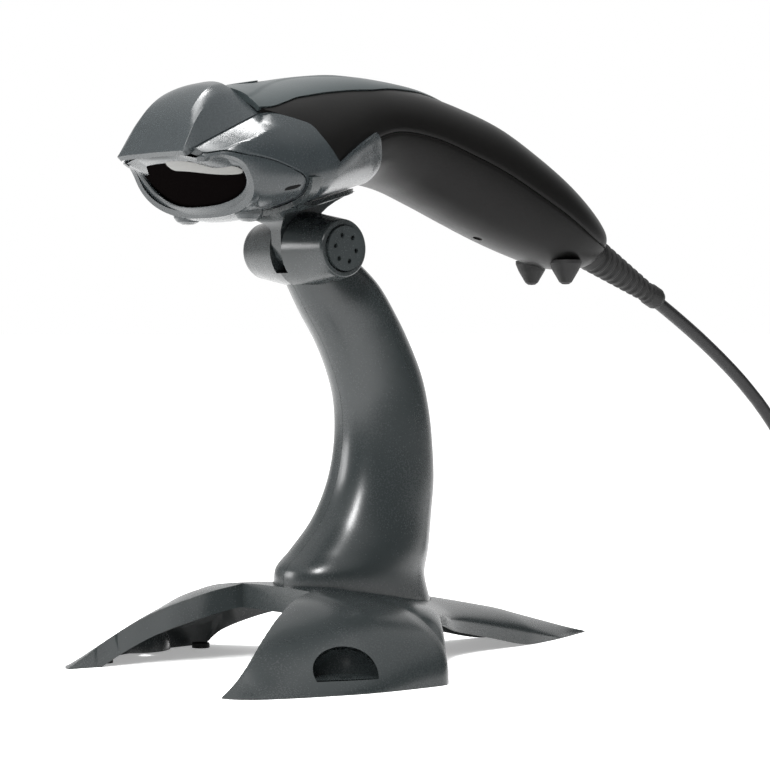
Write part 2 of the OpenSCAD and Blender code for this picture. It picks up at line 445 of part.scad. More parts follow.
// Height of the top over x in row r
function base_z(r, x) = let(y = r[0], n = rear_n(y), q = min(1, abs(x) / r[2]), w = clamp01((abs(x) - r[4]) / (r[2] - r[4])),
    zf = r[1] * pow(1 - pow(w, foot_n(y)), lerp(0.8, 0.4, smooth(-86, -26, y))),
    zh = r[3] + (r[1] - 5 * clamp01((y + 40) / 50) * q * q - r[3]) * pow(1 - pow(q, n), 1 / n))
    lerp(zf, zh, smooth(-56, -34, y));
function base_x(r, v) = let(s = 1 - 2 * v) r[2] * sign(s) * pow(sin(90 * abs(s)), 0.8);
ROWS = [0, 0.12, 0.3, 0.5, 0.75, 1, 1.5, 2, 3, 4, 5, 6, 7, 8, 9, 10, 11, 12, 12.5, 13, 13.25, 13.5, 14, 14.5, 15, 15.5, 16, 16.5, 17, 18, 19, 20, 21, 22, 23, 24, 25, 26];
module base_solid(o, inset, low, t0, t1) {
    rows = [for (t = ROWS) if (t >= t0 && t <= t1) base_row(t)];
    n = len(rows) - 1;
    function bx(r, v) = let(x = base_x(r, v)) sign(x) * max(0.05 * abs(x), abs(x) - inset);
    gridshell(n, 28, function(u, v) let(r = rows[round(u * n)], x = bx(r, v)) [x, r[0], max(low + 0.3, r[3] * (1 - min(1, inset)) + 0.3, base_z(r, x) - o)],
        function(u, v) let(r = rows[round(u * n)], x = bx(r, v)) [x, r[0], low < 0 ? low : r[3]]);
}
// Space between the front feet, widened by g, above the height given by drop
module notch(g, drop) loft([for (y = [-99, -94, -88, -83, -78, -72, -67, -62, -57, -52, -45.8 + g])
    let(b = [for (k = [1, 2]) lookup(y, [for (r = BI) [r[0], r[k]]])], x = b[0] + g, z = drop > 0 ? max(-2, b[1] - drop) : -2)
    [[-x, y, z], [-x, y, 60], [x, y, 60], [x, y, z]]]);
POCKET = [53.8, -62.5, 4];
HOLE = [51.5, -60];
POSTS = [-29, 2];
POST_X = 7;
function plate_z(y) = 19.2 - 0.1317 * (y - POSTS[0]);
module base_shell() color("slategray") at() difference() {
    union() {
        difference() {
            base_solid(0, 0, 0, 0, 26);
            notch(0, 0);
            difference() {
                base_solid(stand_wall, 2, -1, 1, 25);
                notch(2.2, 7.6);
                translate([-70, -110, -2]) cube([140, 22, 60]);
            }
        }
        // domes of the screw pockets and bosses over the desk pads
        intersection() {
            base_solid(0.5, 0.3, 0, 0, 26);
            union() for (s = [-1, 1]) {
                translate([s * POCKET[0], POCKET[1], POCKET[2]]) sphere(r = 11.9);
                translate([s * 46, -80, 1.6]) cylinder(h = 20, r = 3);
                translate([s * 55.5, -34, 1.6]) cylinder(h = 20, r = 3);
            }
        }
        translate([0, 70, 1.6]) cylinder(h = 4, r = 3.4);
        // posts for the column screws
        for (x = [-POST_X, POST_X], y = POSTS) translate([x, y, plate_z(y) + 0.4]) cylinder(h = 4.2, r = 3.6);
    }
    // seat of the column
    loft([for (h = [0, 20]) [for (j = [0:35]) col(0, 10 * j, 0.15) + [0, 0, h - 0.03]]]);
    for (s = [-1, 1]) {
        // screw pocket, hollow under its floor
        translate([s * POCKET[0], POCKET[1], POCKET[2]]) difference() {
            sphere(r = 10.3);
            translate([-20, -20, -22]) cube([40, 40, 22]);
        }
        translate([s * (POCKET[0] - 3.3), POCKET[1] + 1.5, -1]) cylinder(h = POCKET[2] - 0.8, r = 7);
        translate([s * HOLE[0], HOLE[1], -1]) cylinder(h = 8, r = screw_hole_d / 2);
    }
    for (x = [-POST_X, POST_X], y = POSTS) translate([x, y, 0]) cylinder(h = 60, r = 1.7);
}
module ballast_plate() color("silver") at() translate([0, POSTS[0], plate_z(POSTS[0])]) rotate([-7.5, 0, 0]) difference() {
    translate([-13, -9, -ballast_t]) cube([26, 48, ballast_t]);
    for (x = [-POST_X, POST_X], y = [0, 31.3]) translate([x, y, 0]) rotate([7.5, 0, 0]) translate([0, 0, -20]) cylinder(h = 40, r = 1.9);
}
module desk_pads() color([0.08, 0.08, 0.08]) at() {
    for (s = [-1, 1]) {
        translate([s * 46, -80, 0]) cylinder(h = 1.58, r = 3);
        translate([s * 55.5, -34, 0]) cylinder(h = 1.58, r = 3);
    }
    translate([0, 70, 0]) cylinder(h = 1.58, r = 3.4);
}
module root_screws() color("silver") at() for (x = [-POST_X, POST_X], y = POSTS)
    translate([x, y, plate_z(y) - ballast_t - 2.6]) screw(root_z(y) + 5 - plate_z(y) + ballast_t, 1.5);
module half_screws() color("silver") at() for (p = HALF_SCREWS) translate([-9.5, p[0], p[1]]) rotate([0, 90, 0]) screw(12);

base_shell();
ballast_plate();
desk_pads();
stand_half_left();
stand_half_right();
tension_cap();
pivot_bolt();
pivot_nut();
friction_washers();
half_screws();
root_screws();
cradle();
nose_hood();
head_shroud();
nose_bezel();
nose_bumpers();
scan_window();
spine_cover();
handle_top();
handle_bottom();
tail_feet();
cable_boot();
main_board();
optics_chassis();
laser_module();
collecting_mirror();
photodiode_board();
mirror_coil();
mirror_pivot();
beeper();
status_led();
trigger_switch();
cable_socket();
cable_plug();
case_screws();
trigger_button();
scan_mirror();
cord();
cord_coil();
cord_tail();
usb_plug();
cord_tie();
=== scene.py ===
import bpy, bmesh, math, random
from mathutils import Vector, Matrix


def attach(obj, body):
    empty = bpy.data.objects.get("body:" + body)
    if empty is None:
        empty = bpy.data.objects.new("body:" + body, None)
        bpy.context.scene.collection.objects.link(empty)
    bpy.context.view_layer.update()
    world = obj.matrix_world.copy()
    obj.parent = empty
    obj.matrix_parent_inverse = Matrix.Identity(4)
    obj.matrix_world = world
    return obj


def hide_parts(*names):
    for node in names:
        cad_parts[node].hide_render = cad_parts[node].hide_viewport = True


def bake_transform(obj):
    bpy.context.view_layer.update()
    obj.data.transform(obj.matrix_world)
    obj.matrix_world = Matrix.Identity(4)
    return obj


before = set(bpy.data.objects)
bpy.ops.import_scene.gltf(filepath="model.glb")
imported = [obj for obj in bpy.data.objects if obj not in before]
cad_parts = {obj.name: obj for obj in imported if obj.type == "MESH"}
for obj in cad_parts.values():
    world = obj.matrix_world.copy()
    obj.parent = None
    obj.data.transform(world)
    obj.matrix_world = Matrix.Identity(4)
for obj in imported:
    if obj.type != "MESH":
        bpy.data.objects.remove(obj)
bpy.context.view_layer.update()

random.seed(7)
scene = bpy.context.scene
DY = -2.05          # the CAD's shift along Y, in mm
AXIS_Y, AXIS_Z = -33.6, 133.0

# ---------------------------------------------------------------- camera
cam_data = bpy.data.cameras.new("camera")
cam = bpy.data.objects.new("camera", cam_data)
scene.collection.objects.link(cam)
scene.camera = cam
cam_data.sensor_width = 36.0
cam_data.sensor_fit = "HORIZONTAL"
cam_data.lens = 36.0 * 2425.0 / 770.0
cam_data.clip_start, cam_data.clip_end = 0.05, 60
az, pitch = math.radians(49), math.radians(1.3465)
look = Vector((-math.sin(az) * math.cos(pitch), math.cos(az) * math.cos(pitch), -math.sin(pitch)))
cam.location = (0.602684, (-523.596 + DY) / 1000, 0.108)
cam.rotation_euler = look.to_track_quat("-Z", "Y").to_euler()

# ---------------------------------------------------------------- numbers
def lerp(a, b, t): return a + (b - a) * t
def clamp01(t): return max(0.0, min(1.0, t))
def smooth(a, b, t):
    s = clamp01((t - a) / (b - a)); return s * s * (3 - 2 * s)
def cr(P, t):
    n = len(P) - 1
    i = min(max(int(math.floor(t)), 0), n - 1); f = t - i
    p0, p1, p2, p3 = P[max(i - 1, 0)], P[i], P[i + 1], P[min(i + 2, n)]
    return [0.5 * (2 * b + (c - a) * f + (2 * a - 5 * b + 4 * c - d) * f * f + (3 * b - a - 3 * c + d) * f ** 3)
            for a, b, c, d in zip(p0, p1, p2, p3)]
def lin(x, T):
    if x <= T[0][0]: return T[0][1]
    for (a, b), (c, d) in zip(T, T[1:]):
        if x <= c: return b + (d - b) * (x - a) / (c - a)
    return T[-1][1]
def soft(x, T):
    # smooth curve through a table
    if x <= T[0][0]: return T[0][1]
    if x >= T[-1][0]: return T[-1][1]
    n = len(T)
    for i in range(n - 1):
        if x <= T[i + 1][0]: break
    def slope(k):
        if k == 0: return (T[1][1] - T[0][1]) / (T[1][0] - T[0][0])
        if k == n - 1: return (T[-1][1] - T[-2][1]) / (T[-1][0] - T[-2][0])
        a = (T[k][1] - T[k - 1][1]) / (T[k][0] - T[k - 1][0]); b = (T[k + 1][1] - T[k][1]) / (T[k + 1][0] - T[k][0])
        return 0.0 if a * b <= 0 else 2 * a * b / (a + b)
    h = T[i + 1][0] - T[i][0]; f = (x - T[i][0]) / h
    m0, m1 = slope(i) * h, slope(i + 1) * h
    return (2 * f ** 3 - 3 * f * f + 1) * T[i][1] + (f ** 3 - 2 * f * f + f) * m0 + (3 * f * f - 2 * f ** 3) * T[i + 1][1] + (f ** 3 - f * f) * m1
def spow(c, e): return math.copysign(abs(c) ** e, c) if c else 0.0
def sind(a): return math.sin(math.radians(a))
def cosd(a): return math.cos(math.radians(a))

# ---------------------------------------------------------------- materials
def nodes_of(name):
    m = bpy.data.materials.new(name); m.use_nodes = True
    nt = m.node_tree
    return m, nt, nt.nodes["Principled BSDF"]
def plastic(name, color, rough=0.35, grain=0.5, grain_size=0.00035, spec=0.5, coat=0.0, edge=0.00035, dust=0.0, sheen=0.0, mottled=0.06):
    m, nt, b = nodes_of(name)
    N, L = nt.nodes, nt.links
    co = N.new("ShaderNodeTexCoord")
    g = N.new("ShaderNodeTexNoise"); g.inputs["Scale"].default_value = 1.0 / grain_size; g.inputs["Detail"].default_value = 3.0
    L.new(co.outputs["Object"], g.inputs["Vector"])
    lo = N.new("ShaderNodeTexNoise"); lo.inputs["Scale"].default_value = 45.0; lo.inputs["Detail"].default_value = 5.0
    L.new(co.outputs["Object"], lo.inputs["Vector"])
    mr = N.new("ShaderNodeMapRange"); mr.inputs["To Min"].default_value = rough - mottled; mr.inputs["To Max"].default_value = rough + mottled
    L.new(lo.outputs["Fac"], mr.inputs["Value"])
    add = N.new("ShaderNodeMath"); add.operation = "MULTIPLY_ADD"; add.inputs[1].default_value = 0.12; 
    L.new(g.outputs["Fac"], add.inputs[0]); L.new(mr.outputs["Result"], add.inputs[2])
    sub = N.new("ShaderNodeMath"); sub.operation = "SUBTRACT"; sub.inputs[1].default_value = 0.06
    L.new(add.outputs[0], sub.inputs[0]); L.new(sub.outputs[0], b.inputs["Roughness"])
    mix = N.new("ShaderNodeMix"); mix.data_type = "RGBA"
    mix.inputs[6].default_value = (*color, 1); mix.inputs[7].default_value = (*[min(1, c * 1.35 + 0.002) for c in color], 1)
    L.new(g.outputs["Fac"], mix.inputs[0]); L.new(mix.outputs[2], b.inputs["Base Color"])
    bu = N.new("ShaderNodeBump"); bu.inputs["Strength"].default_value = grain; bu.inputs["Distance"].default_value = 0.00006
    L.new(g.outputs["Fac"], bu.inputs["Height"])
    L.new(bu.outputs["Normal"], b.inputs["Normal"])
    b.inputs["Specular IOR Level"].default_value = spec
    b.inputs["Coat Weight"].default_value = coat; b.inputs["Coat Roughness"].default_value = 0.2
    b.inputs["Sheen Weight"].default_value = sheen
    return m
def metal(name, color, rough=0.3):
    m, nt, b = nodes_of(name); N, L = nt.nodes, nt.links
    co = N.new("ShaderNodeTexCoord"); n = N.new("ShaderNodeTexNoise"); n.inputs["Scale"].default_value = 900.0
    L.new(co.outputs["Object"], n.inputs["Vector"])
    mr = N.new("ShaderNodeMapRange"); mr.inputs["To Min"].default_value = rough - 0.08; mr.inputs["To Max"].default_value = rough + 0.12
    L.new(n.outputs["Fac"], mr.inputs["Value"]); L.new(mr.outputs["Result"], b.inputs["Roughness"])
    bu = N.new("ShaderNodeBump"); bu.inputs["Strength"].default_value = 0.2; bu.inputs["Distance"].default_value = 0.00003
    L.new(n.outputs["Fac"], bu.inputs["Height"]); L.new(bu.outputs["Normal"], b.inputs["Normal"])
    b.inputs["Base Color"].default_value = (*color, 1); b.inputs["Metallic"].default_value = 1.0
    return m
M_STAND = plastic("stand_slate", (0.0125, 0.0155, 0.016), rough=0.26, grain=0.22, grain_size=0.0005, spec=0.4)
M_HEAD = plastic("head_slate", (0.0145, 0.018, 0.0195), rough=0.27, grain=0.22, grain_size=0.0005, spec=0.4)
M_SPINE = plastic("spine_slate", (0.016, 0.0215, 0.0225), rough=0.36, grain=0.3, grain_size=0.0005, spec=0.35)
M_BLACK = plastic("handle_black", (0.0022, 0.0021, 0.0020), rough=0.38, grain=0.18, grain_size=0.0005, spec=0.09)
M_RUBBER = plastic("rubber_black", (0.006, 0.006, 0.006), rough=0.55, grain=0.5, grain_size=0.0006, spec=0.22)
M_CORD = plastic("cord_black", (0.006, 0.006, 0.0065), rough=0.42, grain=0.25, grain_size=0.0008, spec=0.25)
M_INNER = plastic("inner_black", (0.002, 0.002, 0.002), rough=0.7, grain=0.2, spec=0.05)
M_STEEL = metal("plated_steel", (0.62, 0.62, 0.6), 0.3)
M_BRASS = metal("brass", (0.78, 0.58, 0.26), 0.28)
M_COPPER = metal("copper_winding", (0.72, 0.36, 0.2), 0.35)
M_WASHER = plastic("washer_natural", (0.7, 0.69, 0.64), rough=0.5)
M_BOARD = plastic("board_green", (0.01, 0.11, 0.04), rough=0.3, grain=0.4, grain_size=0.0012)
M_CLEAR = plastic("plug_clear", (0.7, 0.72, 0.74), rough=0.15, grain=0.1)
M_LED = plastic("led_diffuser", (0.6, 0.85, 0.6), rough=0.25, grain=0.1)
M_MIRROR = metal("mirror_coat", (0.92, 0.94, 0.95), 0.1)
def window_material():
    m, nt, b = nodes_of("window_tint"); N, L = nt.nodes, nt.links
    co = N.new("ShaderNodeTexCoord"); n = N.new("ShaderNodeTexNoise"); n.inputs["Scale"].default_value = 220.0; n.inputs["Detail"].default_value = 4
    L.new(co.outputs["Object"], n.inputs["Vector"])
    mr = N.new("ShaderNodeMapRange"); mr.inputs["To Min"].default_value = 0.05; mr.inputs["To Max"].default_value = 0.14
    L.new(n.outputs["Fac"], mr.inputs["Value"]); L.new(mr.outputs["Result"], b.inputs["Roughness"])
    b.inputs["Base Color"].default_value = (0.0018, 0.0014, 0.0014, 1)
    b.inputs["Specular IOR Level"].default_value = 0.0
    return m
M_WINDOW = window_material()
# pale grey of the bar inside the mouth: a painted reflection of light on the window glass
M_PAINTED_REFLECTION = plastic("window_painted_reflection", (0.13, 0.13, 0.125), rough=0.5, grain=0.25, spec=0.2)

# ---------------------------------------------------------------- mesh helpers
def new_object(name, verts, faces, mat, sharp=32, shift=True, normals=True):
    me = bpy.data.meshes.new(name)
    d = DY if shift else 0.0
    me.from_pydata([(v[0] / 1000, (v[1] + d) / 1000, v[2] / 1000) for v in verts], [], faces)
    ob = bpy.data.objects.new(name, me); scene.collection.objects.link(ob)
    if mat: me.materials.append(mat)
    if normals:
        bm = bmesh.new(); bm.from_mesh(me)
        bmesh.ops.remove_doubles(bm, verts=bm.verts, dist=1e-7)
        bmesh.ops.recalc_face_normals(bm, faces=bm.faces); bm.to_mesh(me); bm.free()
    finish_mesh(ob, sharp)
    return ob
def finish_mesh(ob, sharp=32):
    me = ob.data
    me.polygons.foreach_set("use_smooth", [True] * len(me.polygons))
    me.set_sharp_from_angle(angle=math.radians(sharp))
    me.update()
def gridshell(name, nu, nv, fo, fi, mat, sharp=32):
    V = [fo(i / nu, j / nv) for i in range(nu + 1) for j in range(nv + 1)] + [fi(i / nu, j / nv) for i in range(nu + 1) for j in range(nv + 1)]
    n = (nu + 1) * (nv + 1); q = lambda i, j: i * (nv + 1) + j
    F = []
    for i in range(nu):
        for j in range(nv):
            F.append((q(i, j), q(i + 1, j), q(i + 1, j + 1), q(i, j + 1)))
            F.append((n + q(i, j), n + q(i, j + 1), n + q(i + 1, j + 1), n + q(i + 1, j)))
    for i in range(nu):
        F.append((q(i, 0), n + q(i, 0), n + q(i + 1, 0), q(i + 1, 0)))
        F.append((q(i, nv), q(i + 1, nv), n + q(i + 1, nv), n + q(i, nv)))
    for j in range(nv):
        F.append((q(0, j), q(0, j + 1), n + q(0, j + 1), n + q(0, j)))
        F.append((q(nu, j), n + q(nu, j), n + q(nu, j + 1), q(nu, j + 1)))
    return new_object(name, V, F, mat, sharp)
def loft(name, rings, mat, closed=False, sharp=32):
    n, k = len(rings), len(rings[0])
    V = [p for r in rings for p in r]; F = []
    for i in range(n if closed else n - 1):
        for j in range(k):
            i2, j2 = (i + 1) % n, (j + 1) % k
            F.append((i * k + j, i2 * k + j, i2 * k + j2, i * k + j2))
    if not closed: F += [tuple(range(k)), tuple((n - 1) * k + j for j in range(k - 1, -1, -1))]
    return new_object(name, V, F, mat, sharp)
def boolean(ob, cutter, op="DIFFERENCE", sharp=32):
    m = ob.modifiers.new("b", "BOOLEAN"); m.object = cutter; m.operation = op; m.solver = "EXACT"
    dg = bpy.context.evaluated_depsgraph_get(); dg.update()
    me = bpy.data.meshes.new_from_object(ob.evaluated_get(dg))
    ob.modifiers.clear(); ob.data = me
    bpy.data.objects.remove(cutter)
    finish_mesh(ob, sharp)
    return ob
def box(name, lo, hi, mat=None):
    V = [(x, y, z) for x in (lo[0], hi[0]) for y in (lo[1], hi[1]) for z in (lo[2], hi[2])]
    F = [(0, 1, 3, 2), (4, 6, 7, 5), (0, 4, 5, 1), (2, 3, 7, 6), (0, 2, 6, 4), (1, 5, 7, 3)]
    return new_object(name, V, F, mat)
def lathe(name, prof, place, mat, n=72, sharp=32):
    # prof: (radius, height) pairs; place maps (x, y, z) of the lathe's own frame to mm
    return loft(name, [[place(r * math.cos(2 * math.pi * j / n), r * math.sin(2 * math.pi * j / n), h) for j in range(n)] for r, h in prof], mat, False, sharp)
def join(obs, name):
    bpy.ops.object.select_all(action="DESELECT")
    for o in obs: o.select_set(True)
    bpy.context.view_layer.objects.active = obs[0]
    bpy.ops.object.join(); obs[0].name = name
    return obs[0]
def bevel(ob, w, seg=2, angle=35):
    m = ob.modifiers.new("bevel", "BEVEL"); m.width = w / 1000; m.segments = seg; m.limit_method = "ANGLE"; m.angle_limit = math.radians(angle)
    m.harden_normals = False; m.use_clamp_overlap = True
    return ob

# ---------------------------------------------------------------- scanner skin
ST = [[-92, 160.5, -76, 142.8, 25, 0.52, 2.6], [-86, 173, -72.3, 141.8, 29.8, 0.42, 2.4], [-76, 180, -66, 142.2, 31.6, 0.34, 2.3],
    [-66, 182, -58, 144.4, 32.6, 0.28, 2.2], [-53, 184, -48, 146.4, 32.2, 0.28, 2.2], [-39, 186.4, -36, 149.4, 28.8, 0.35, 2.2],
    [-24, 188, -24, 152.5, 24.3, 0.42, 2.2], [-9, 187.7, -12, 154.8, 21.3, 0.48, 2.2], [9, 185.8, 2, 152.8, 20, 0.5, 2.2],
    [27, 182, 17, 147.7, 19.6, 0.5, 2.2], [44.5, 176.7, 31, 142.4, 19.4, 0.5, 2.2], [61, 168.8, 46, 137, 18.8, 0.5, 2.2],
    [76.3, 160.1, 61, 132.4, 17.6, 0.5, 2.2], [88.8, 151.4, 75, 128.9, 15, 0.5, 2.2], [97.6, 144.2, 87.5, 128.6, 10.8, 0.5, 2.1],
    [101.6, 139.4, 96.4, 131.8, 4.6, 0.5, 2.0]]
def skin(t, a, o=0.0):
    s = cr(ST, t); h = math.hypot(s[0] - s[2], s[1] - s[3]); uy, uz = (s[0] - s[2]) / h, (s[1] - s[3]) / h
    cy, cz = s[2] + uy * h * s[5], s[3] + uz * h * s[5]
    hh = h * (1 - s[5]) if sind(a) >= 0 else h * s[5]
    e = 2 / s[6]; z = (hh + o) * spow(sind(a), e)
    return ((s[4] + o) * spow(cosd(a), e), cy + uy * z, cz + uz * z)
def fold(a):
    a = (a + 180) % 360 - 180
    return -180 - a if a < -90 else 180 - a if a > 90 else a
WING_REAR = [(0, 4.32), (6, 4.15), (18, 3.9), (29, 3.7), (34, 3.4), (38, 3.1), (42, 2.8), (45, 2.5)]
FIN_REAR = [(-90, 7.1), (-58, 6.7), (-42, 6.55), (-20, 6.3), (-7, 6.15), (0, 6.05), (5, 5.9)]
BEZEL_FRONT = [(-90, 0.8), (-50, 0.95), (-30, 0.95), (0, 0.9), (20, 0.55), (40, 0.15), (50, 0)]
BEZEL_REAR = [(-90, 2.7), (-64, 2.75), (-52, 2.9), (-42, 3.15), (-13, 3.1), (-1, 2.92), (4, 2.2), (8, 1.45), (12, 1), (20, 0.72), (40, 0.35), (50, 0.25)]
CREASE = [(0.3, 30), (0.75, 24), (1.35, 21.5), (2.2, 26), (3.0, 32), (3.4, 36)]
wall = 2.2
def patch(name, ta, tb, a0, a1, oo, oi, nu, nv, mat, pt=skin, sharp=32):
    def at(off):
        def f(u, v):
            a = lerp(a0, a1, v); t = lerp(ta(a), tb(a), u); return pt(t, a, off(t, a))
        return f
    return gridshell(name, nu, nv, at(oo), at(oi), mat, sharp)
# Rounds an edge of a patch: pulls the outer face in near both ends of u
# Angle on the skin where the hood's lower edge lies, by t; faceted() reads it
HOOD_EDGE = [(0.25, 67), (0.55, 49), (1.3, 39), (2.45, 42)]
def faceted(t, a, o):
    # upper flank of the wing: a flat facet from the crease up to the edge of the hood
    b = fold(a); r = skin(t, a, o)
    if t >= 3.4: return r
    c, e = soft(t, CREASE), soft(t, HOOD_EDGE)
    if b <= c: return r
    side = 1 if abs(((a + 180) % 360) - 180) <= 90 else -1
    q = skin(t, e, 0); u = clamp01((q[1] + 94) / 26.2)
    inward = min(0.0, o) * 0.8
    H = (lerp(17.4, 22.2, u) - 0.15 + inward, lerp(-94, -67.8, u), lerp(160.6, 174.1, u) - 0.45 + inward)
    C = skin(t, c, o)
    if b <= e:
        f = (b - c) / (e - c); P = (lerp(C[0], H[0], f), lerp(C[1], H[1], f), lerp(C[2], H[2], f))
    else:
        D = skin(t, 68, o - 2.6); f = clamp01((b - e) / (68 - e)); P = (lerp(H[0], D[0], f), lerp(H[1], D[1], f), lerp(H[2], D[2], f))
    k = (1 - smooth(2.35, 3.1, t)) * smooth(0.0, 0.12, t)
    return (side * lerp(abs(r[0]), P[0], k), lerp(r[1], P[1], k), lerp(r[2], P[2], k))
def rolled(f, r=0.35):
    return f
bez = patch("nose_bezel_skin", lambda a: soft(fold(a), BEZEL_FRONT), lambda a: soft(fold(a), BEZEL_REAR) - 0.045, -228, 48,
    lambda t, a: 0.0, lambda t, a: -wall, 16, 150, M_HEAD, pt=faceted)
bevel(bez, 0.35)
def mouth(a):
    c, n = cosd(a), sind(a); x = 25.5 * spow(c, 0.85)
    z = 156 + 3.4 * n ** 0.7 if n > 0 else 156 - 10.4 * (-n) ** 1.05
    return (x, -93 + (160.5 - z) * 1.13 + 8.5 * x * x / 650, z)
def mouth_section(a):
    m = Vector(mouth(a)); r = Vector(skin(soft(fold(a), BEZEL_FRONT) + 0.02, a, -0.35)); d = Vector((0, 1.9, -0.9)).normalized()
    w = (r - m); n = len_ = w.length; w.normalize()
    pts = []
    # rounded inner lip, slightly dished face, outer edge, back
    for k in range(7):
        th = math.pi / 2 * k / 6
        pts.append(m + d * (1.1 - 1.1 * math.sin(th)) + w * (1.1 - 1.1 * math.cos(th)))
    for k in range(1, 6):
        f = k / 6; pts.append(m + w * lerp(1.1, n, f) + d * (0.35 * math.sin(math.pi * f)))
    pts += [r, r + d * 2.2, m + d * 9 + w * 1.2, m + d * 9]
    return [tuple(p) for p in pts]
ring = loft("nose_bezel_rim", [mouth_section(-180 + 3 * j) for j in range(120)], M_HEAD, True)
bezel_obj = join([bez, ring], "nose_bezel_visual")
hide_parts("nose_bezel"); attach(bezel_obj, "scanner")
# small slot on each side of the bezel, drawn as a near-flat black patch on the skin: the black is painted shade
# standing in for the slot's depth
for s in (1, -1):
    slot_v = []
    for k in range(28):
        th = 2 * math.pi * k / 28
        slot_v.append((0.30 * spow(math.cos(th), 0.7), 2.9 * spow(math.sin(th), 0.8) + 2.0 * math.cos(th)))
    def pt(tt, aa, o): 
        x, y, z = skin(tt, aa, o); return (s * x, y, z)
    rings = [[pt(2.58 + t * f, -20 + a * f, o) for t, a in slot_v] for f, o in ((1.06, -0.1), (1.04, 0.03), (1.0, 0.05), (0.9, 0.03), (0.02, 0.03))]
    ob = loft("side_slot_painted_shade_%s" % ("r" if s > 0 else "l"), rings, M_INNER)
    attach(ob, "scanner")
# window
def win(x, z, d): return (x, -93 + (160.5 - z) * 1.13 + 8.5 * x * x / 650 + d, z)
def wr(d, k):
    out = []
    for j in range(64):
        p = mouth(5.625 * j); x, z = p[0] * k, (p[2] - 153) * k + 153
        out.append(win(x, z - 1.2, d + 1.05))
    return out
wo = loft("scan_window_visual", [wr(0.2, 0.02), wr(0.15, 0.3), wr(0.12, 0.6), wr(0.1, 0.97), wr(0.35, 1.0), wr(1.5, 1.0), wr(1.5, 0.02)], M_WINDOW)
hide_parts("scan_window"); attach(wo, "scanner")
# pale bar just in front of the window, along its upper edge: a painted reflection standing in for light mirrored in the
# glass
bar = []
for k in range(41):
    f = k / 40; x = lerp(1.0, 25.0, f)
    end = max(0.0, 1 - abs(2 * f - 1) ** 9) ** 0.5
    zc = lerp(157.6, 155.4, f) + 0.25 * math.sin(2.2 * math.pi * f); hz = (1.75 - 0.5 * f) * max(0.04, end)
    bar.append([win(x, zc - 0.2 + hz * math.sin(2 * math.pi * j / 12), 1.0 + 0.28 * max(0.04, end) * math.cos(2 * math.pi * j / 12)) for j in range(12)])
bo = loft("window_painted_reflection_bar", bar, M_PAINTED_REFLECTION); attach(bo, "scanner")
# head shroud: wings and fins
def shroud_rear(a):
    b = fold(a); return soft(b, WING_REAR) if b > 0 else 4.35
def shroud_out(t): return 0.9 * smooth(3.6, 4.2, t)
def shroud_in(t): return lerp(-wall, 0.1, smooth(3.75, 4.1, t))
wing = patch("head_shroud_wings", lambda a: soft(fold(a), BEZEL_REAR), shroud_rear, -247, 67, lambda t, a: shroud_out(t) + 0.28 * (1 - smooth(0, 0.25, t - soft(fold(a), BEZEL_REAR))), lambda t, a: shroud_in(t), 44, 232, M_HEAD, pt=faceted, sharp=24)
bevel(wing, 0.3)
def fin_front(a):
    b = fold(a); return 4.25 + 1.6 * b / 5 if b > 0 else 4.25
fin = patch("head_shroud_fins", fin_front, lambda a: soft(fold(a), FIN_REAR), -185, 5, lambda t, a: shroud_out(t) * (0.25 + 0.75 * smooth(0, 0.5, soft(fold(a), FIN_REAR) - t)) + 0.9 * smooth(-14, 4, fold(a)) * smooth(4.3, 5.2, t), lambda t, a: 0.05, 26, 110, M_HEAD)
bevel(fin, 0.25)
sh = join([wing, fin], "head_shroud_visual"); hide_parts("head_shroud"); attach(sh, "scanner")
# hood
HC = [[-94.5, 161], [-89.8, 171], [-85, 177.8], [-79.4, 182.2], [-73.2, 184]]
def hood_raw(u, aw):
    c = cr(HC, 4 * u); hw = lerp(16.8, 10.4, u); lo = (lerp(17.4, 22.2, u), lerp(-94, -67.8, u), lerp(160.6, 174.1, u))
    f = clamp01((aw - 0.6) / 0.4); g = clamp01(aw / 0.6); drop = lerp(0.2, 1.9, u ** 1.4) * g ** 2.4
    p = (hw * g, c[0] + 0.12 * drop, c[1] - drop)
    return [lerp(p[k], lo[k], f) for k in range(3)]
def hood_pt(u, v, o):
    w = 2 * v - 1; s = -1 if w < 0 else 1; aw = abs(w)
    d = 0.13 * max(0.0, 1 - abs(aw - 0.6) / 0.2)
    a, b, c = hood_raw(u, aw - d), hood_raw(u, aw), hood_raw(u, aw + d)
    q = [(a[k] + 2 * b[k] + c[k]) / 4 for k in range(3)]
    return (s * q[0] * (1 - o * 0.012), q[1] + o * 0.75, q[2] - o * (0.5 if aw > 0.99 else 0.8))
hd = gridshell("nose_hood_visual", 36, 50, lambda u, v: hood_pt(u, v, 0), lambda u, v: hood_pt(u, v, 1.6), M_HEAD, 20)
bevel(hd, 0.35, 3, 20)
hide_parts("nose_hood"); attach(hd, "scanner")
# spine cover
SPINE = [(2.4, 44), (3, 43), (3.5, 40), (4, 37), (4.6, 38), (5.3, 40), (6.2, 42), (7.4, 31), (8.3, 15), (9, 2)]
SPC = [(2.4, 57), (2.9, 62), (3.55, 71), (4.25, 80), (5.05, 84), (5.7, 77), (6.4, 70), (7.4, 72), (8.3, 80), (9, 89)]
def spine_out(t, w):
    half = soft(t, SPINE); inner = 90 - soft(t, SPC); ang = abs(w) * half
    return 1.0 - 0.55 * abs(w) ** 6 + 0.32 * smooth(inner + 1.6, inner - 1.6, ang) * smooth(2.4, 2.7, t) * (1 - smooth(6, 7, t)) if half > 0 else 1.0
def smoother(a, b, t): return smooth(a, b, t) if a < b else 1 - smooth(b, a, t)
def spine_out2(t, w):
    half = soft(t, SPINE); inner = 90 - soft(t, SPC); ang = abs(w) * half
    return 1.0 - 0.55 * abs(w) ** 6 + 0.3 * smoother(inner + 1.2, inner - 1.2, ang) * (1 - smooth(5.6, 6.4, t))
